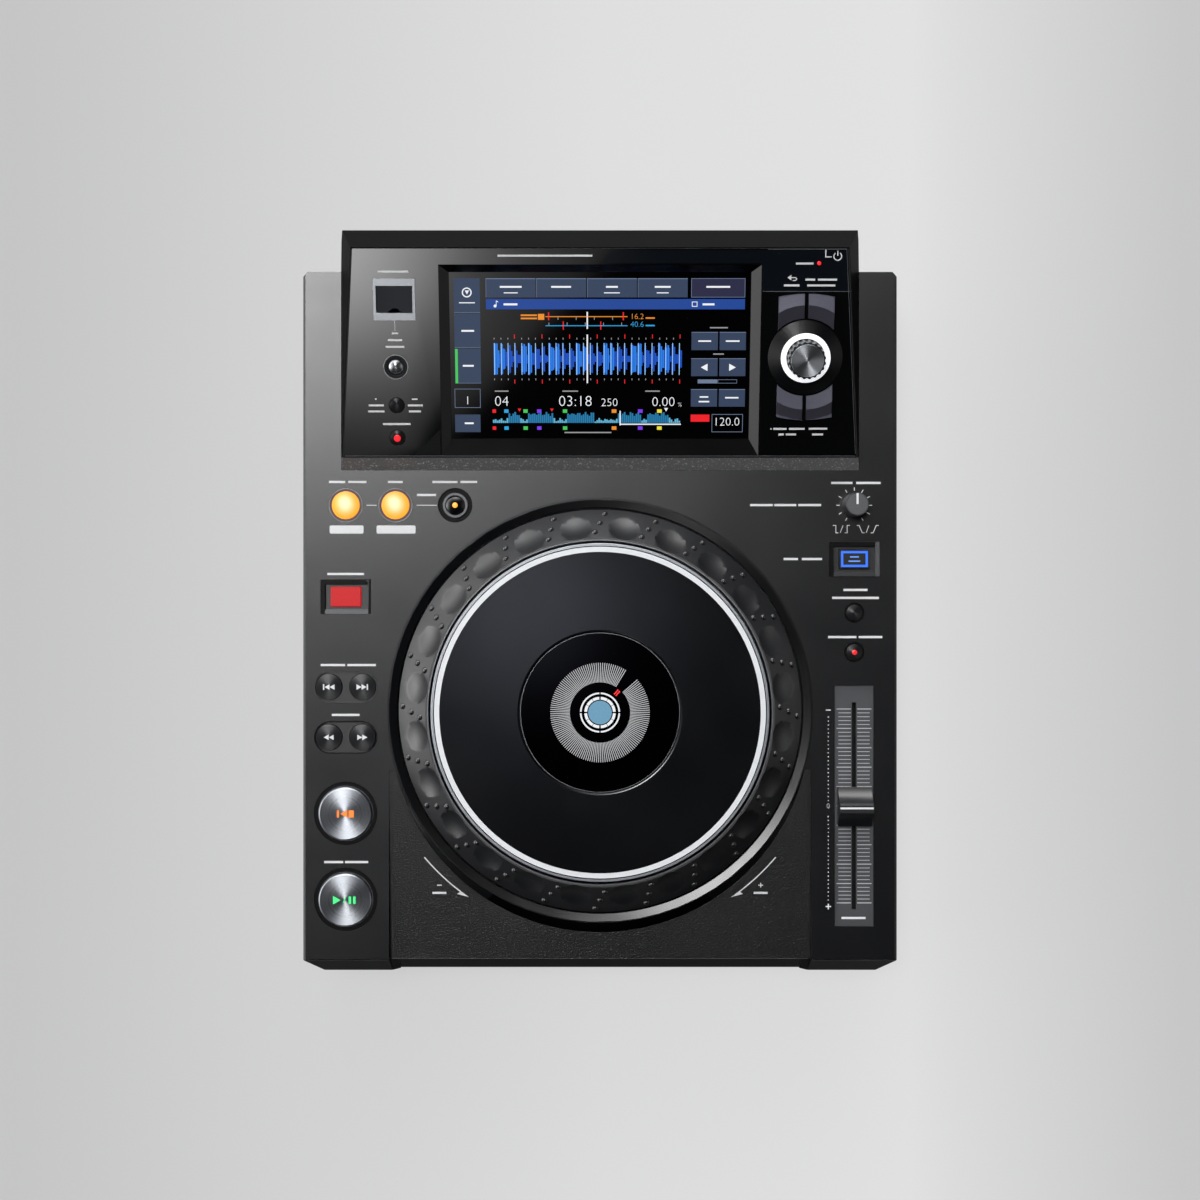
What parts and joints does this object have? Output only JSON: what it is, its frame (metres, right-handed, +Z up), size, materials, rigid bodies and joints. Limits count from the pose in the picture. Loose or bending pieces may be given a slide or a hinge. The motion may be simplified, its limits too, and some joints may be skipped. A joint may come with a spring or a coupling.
{
  "type": "tabletop media player",
  "caption": "Tabletop DJ media player: low black case with a tilted touch display, large jog wheel, tempo fader, rotary selector and push buttons.",
  "frame": {"origin": "centre of the footprint, on the table", "axes": "+X to the player's right, +Y to the back, +Z up"},
  "size_m": [0.306, 0.383, 0.1061],
  "materials": {
    "deck_plastic": "satin, fine texture",
    "apron_skin": "leather-like grain",
    "plate_steel": "satin",
    "panel_steel": "satin",
    "fascia_gloss": "gloss",
    "bezel_gloss": "gloss",
    "screen_glass": "glass over a lit display",
    "lcd_metal": "sheet metal",
    "silver_trim": "silver satin",
    "socket_metal": "plated",
    "black_button": "gloss",
    "wing_button": "smoky grey",
    "light_ring": "lit, translucent white",
    "component_case": "satin",
    "selector_steel": "polished",
    "selector_metal": "spun",
    "rim_plastic": "satin",
    "amber_button": "lit amber",
    "red_button": "lit red",
    "blue_button": "lit blue",
    "button_metal": "spun",
    "knob_plastic": "satin",
    "scale_plate": "grey satin",
    "rail_steel": "sheet metal",
    "jog_plastic": "satin",
    "bearing_plastic": "acetal",
    "jog_metal": "black satin",
    "pinion_plastic": "acetal",
    "board": "circuit board",
    "power_board": "circuit board",
    "inlet_plastic": "satin",
    "foot_rubber": "matt",
    "screw_steel": "black"
  },
  "bodies": {
    "case": {"top_cover": "deck_plastic", "front_apron": "apron_skin", "bottom_plate": "plate_steel", "rear_panel": "panel_steel", "display_housing": "deck_plastic", "display_fascia": "fascia_gloss", "screen_bezel": "bezel_gloss", "touch_glass": "screen_glass", "lcd_module": "lcd_metal", "usb_frame": "silver_trim", "usb_socket": "socket_metal", "selector_bezel": "fascia_gloss", "selector_light": "light_ring", "selector_encoder": "component_case", "button_rims": "rim_plastic", "speed_pot": "component_case", "fader_plate": "scale_plate", "fader_rail": "rail_steel", "jog_collar": "fascia_gloss", "jog_base": "rim_plastic", "jog_bearing": "bearing_plastic", "jog_display": "bezel_gloss", "control_boards": "board", "main_board": "board", "power_board": "power_board", "power_inlet": "inlet_plastic", "power_switch": "component_case", "audio_jacks": "socket_metal", "data_sockets": "socket_metal", "feet": "foot_rubber", "screws": "screw_steel"},
    "usb_stop_button": {"usb_stop_button": "silver_trim"},
    "time_mode_button": {"time_mode_button": "black_button"},
    "quantize_button": {"quantize_button": "black_button"},
    "back_button": {"back_button": "wing_button"},
    "tag_button": {"tag_button": "wing_button"},
    "filter_button": {"filter_button": "wing_button"},
    "shortcut_button": {"shortcut_button": "wing_button"},
    "loop_in_button": {"loop_in_button": "amber_button"},
    "loop_out_button": {"loop_out_button": "amber_button"},
    "reloop_button": {"reloop_button": "black_button"},
    "reverse_button": {"reverse_button": "red_button"},
    "track_back_button": {"track_back_button": "rim_plastic"},
    "track_forward_button": {"track_forward_button": "rim_plastic"},
    "search_back_button": {"search_back_button": "rim_plastic"},
    "search_forward_button": {"search_forward_button": "rim_plastic"},
    "cue_button": {"cue_button": "button_metal"},
    "play_button": {"play_button": "button_metal"},
    "jog_mode_button": {"jog_mode_button": "blue_button"},
    "tempo_range_button": {"tempo_range_button": "black_button"},
    "master_tempo_button": {"master_tempo_button": "black_button"},
    "power_button": {"power_button": "rim_plastic"},
    "usb_flap": {"usb_flap": "black_button"},
    "selector_plunger": {"selector_plunger": "selector_steel"},
    "selector_knob": {"selector_knob": "selector_metal"},
    "speed_knob": {"speed_knob": "knob_plastic"},
    "fader_cap": {"fader_cap": "knob_plastic"},
    "jog_ring": {"jog_ring": "jog_plastic"},
    "jog_plate": {"jog_plate": "jog_metal"},
    "encoder_pinion": {"encoder_pinion": "pinion_plastic"}
  },
  "joints": [
    {"name": "usb_stop_button_push", "type": "slide", "parent": "case", "child": "usb_stop_button", "axis": [0, -0.2588, 0.9659], "range_m": [-0.0008, 0], "stiffness_N_per_m": 300, "springref_m": 0.0005},
    {"name": "time_mode_button_push", "type": "slide", "parent": "case", "child": "time_mode_button", "axis": [0, -0.2588, 0.9659], "range_m": [-0.0008, 0], "stiffness_N_per_m": 300, "springref_m": 0.0005},
    {"name": "quantize_button_push", "type": "slide", "parent": "case", "child": "quantize_button", "axis": [0, -0.2588, 0.9659], "range_m": [-0.0008, 0], "stiffness_N_per_m": 300, "springref_m": 0.0005},
    {"name": "back_button_push", "type": "slide", "parent": "case", "child": "back_button", "axis": [0, -0.2588, 0.9659], "range_m": [-0.0008, 0], "stiffness_N_per_m": 300, "springref_m": 0.0005},
    {"name": "tag_button_push", "type": "slide", "parent": "case", "child": "tag_button", "axis": [0, -0.2588, 0.9659], "range_m": [-0.0008, 0], "stiffness_N_per_m": 300, "springref_m": 0.0005},
    {"name": "filter_button_push", "type": "slide", "parent": "case", "child": "filter_button", "axis": [0, -0.2588, 0.9659], "range_m": [-0.0008, 0], "stiffness_N_per_m": 300, "springref_m": 0.0005},
    {"name": "shortcut_button_push", "type": "slide", "parent": "case", "child": "shortcut_button", "axis": [0, -0.2588, 0.9659], "range_m": [-0.0008, 0], "stiffness_N_per_m": 300, "springref_m": 0.0005},
    {"name": "loop_in_button_push", "type": "slide", "parent": "case", "child": "loop_in_button", "axis": [0, 0, 1], "range_m": [-0.0008, 0], "stiffness_N_per_m": 300, "springref_m": 0.0005},
    {"name": "loop_out_button_push", "type": "slide", "parent": "case", "child": "loop_out_button", "axis": [0, 0, 1], "range_m": [-0.0008, 0], "stiffness_N_per_m": 300, "springref_m": 0.0005},
    {"name": "reloop_button_push", "type": "slide", "parent": "case", "child": "reloop_button", "axis": [0, 0, 1], "range_m": [-0.0008, 0], "stiffness_N_per_m": 300, "springref_m": 0.0005},
    {"name": "reverse_button_push", "type": "slide", "parent": "case", "child": "reverse_button", "axis": [0, 0, 1], "range_m": [-0.0008, 0], "stiffness_N_per_m": 300, "springref_m": 0.0005},
    {"name": "track_back_button_push", "type": "slide", "parent": "case", "child": "track_back_button", "axis": [0, 0, 1], "range_m": [-0.0008, 0], "stiffness_N_per_m": 300, "springref_m": 0.0005},
    {"name": "track_forward_button_push", "type": "slide", "parent": "case", "child": "track_forward_button", "axis": [0, 0, 1], "range_m": [-0.0008, 0], "stiffness_N_per_m": 300, "springref_m": 0.0005},
    {"name": "search_back_button_push", "type": "slide", "parent": "case", "child": "search_back_button", "axis": [0, 0, 1], "range_m": [-0.0008, 0], "stiffness_N_per_m": 300, "springref_m": 0.0005},
    {"name": "search_forward_button_push", "type": "slide", "parent": "case", "child": "search_forward_button", "axis": [0, 0, 1], "range_m": [-0.0008, 0], "stiffness_N_per_m": 300, "springref_m": 0.0005},
    {"name": "cue_button_push", "type": "slide", "parent": "case", "child": "cue_button", "axis": [0, 0, 1], "range_m": [-0.0008, 0], "stiffness_N_per_m": 500, "springref_m": 0.001},
    {"name": "play_button_push", "type": "slide", "parent": "case", "child": "play_button", "axis": [0, 0, 1], "range_m": [-0.0008, 0], "stiffness_N_per_m": 500, "springref_m": 0.001},
    {"name": "jog_mode_button_push", "type": "slide", "parent": "case", "child": "jog_mode_button", "axis": [0, 0, 1], "range_m": [-0.0008, 0], "stiffness_N_per_m": 300, "springref_m": 0.0005},
    {"name": "tempo_range_button_push", "type": "slide", "parent": "case", "child": "tempo_range_button", "axis": [0, 0, 1], "range_m": [-0.0008, 0], "stiffness_N_per_m": 300, "springref_m": 0.0005},
    {"name": "master_tempo_button_push", "type": "slide", "parent": "case", "child": "master_tempo_button", "axis": [0, 0, 1], "range_m": [-0.0008, 0], "stiffness_N_per_m": 300, "springref_m": 0.0005},
    {"name": "power_button_push", "type": "slide", "parent": "case", "child": "power_button", "axis": [0, 1, 0], "range_m": [-0.0025, 0], "stiffness_N_per_m": 300, "springref_m": 0.002},
    {"name": "usb_flap_hinge", "type": "hinge", "parent": "case", "child": "usb_flap", "pos_m": [-0.1034, 0.1596, 0.09937], "axis": [1, 0, 0], "range_deg": [-90, 0], "stiffness_Nm_per_rad": 0.001, "springref_deg": 11.46},
    {"name": "selector_push", "type": "slide", "parent": "case", "child": "selector_plunger", "axis": [0, -0.2588, 0.9659], "range_m": [-0.0006, 0], "stiffness_N_per_m": 500, "springref_m": 0.001},
    {"name": "selector_turn", "type": "hinge", "parent": "selector_plunger", "child": "selector_knob", "pos_m": [0.1038, 0.12528, 0.09183], "axis": [0, -0.2588, 0.9659], "continuous": true},
    {"name": "speed_turn", "type": "hinge", "parent": "case", "child": "speed_knob", "pos_m": [0.131, 0.0513, 0.072], "axis": [0, 0, 1], "range_deg": [-150, 150]},
    {"name": "tempo_slide", "type": "slide", "parent": "case", "child": "fader_cap", "axis": [0, 1, 0], "range_m": [-0.05, 0.05]},
    {"name": "jog_turn", "type": "hinge", "parent": "case", "child": "jog_ring", "pos_m": [0, -0.0545, 0.072], "axis": [0, 0, 1], "continuous": true},
    {"name": "jog_press", "type": "slide", "parent": "jog_ring", "child": "jog_plate", "axis": [0, 0, 1], "range_m": [-0.0004, 0], "stiffness_N_per_m": 6000, "springref_m": 0.0008},
    {"name": "pinion_turn", "type": "hinge", "parent": "case", "child": "encoder_pinion", "pos_m": [0.027, -0.10127, 0.064], "axis": [0, 0, 1], "continuous": true}
  ],
  "couplings": [
    {"joint": "pinion_turn", "follows": "jog_turn", "ratio": -5}
  ]
}
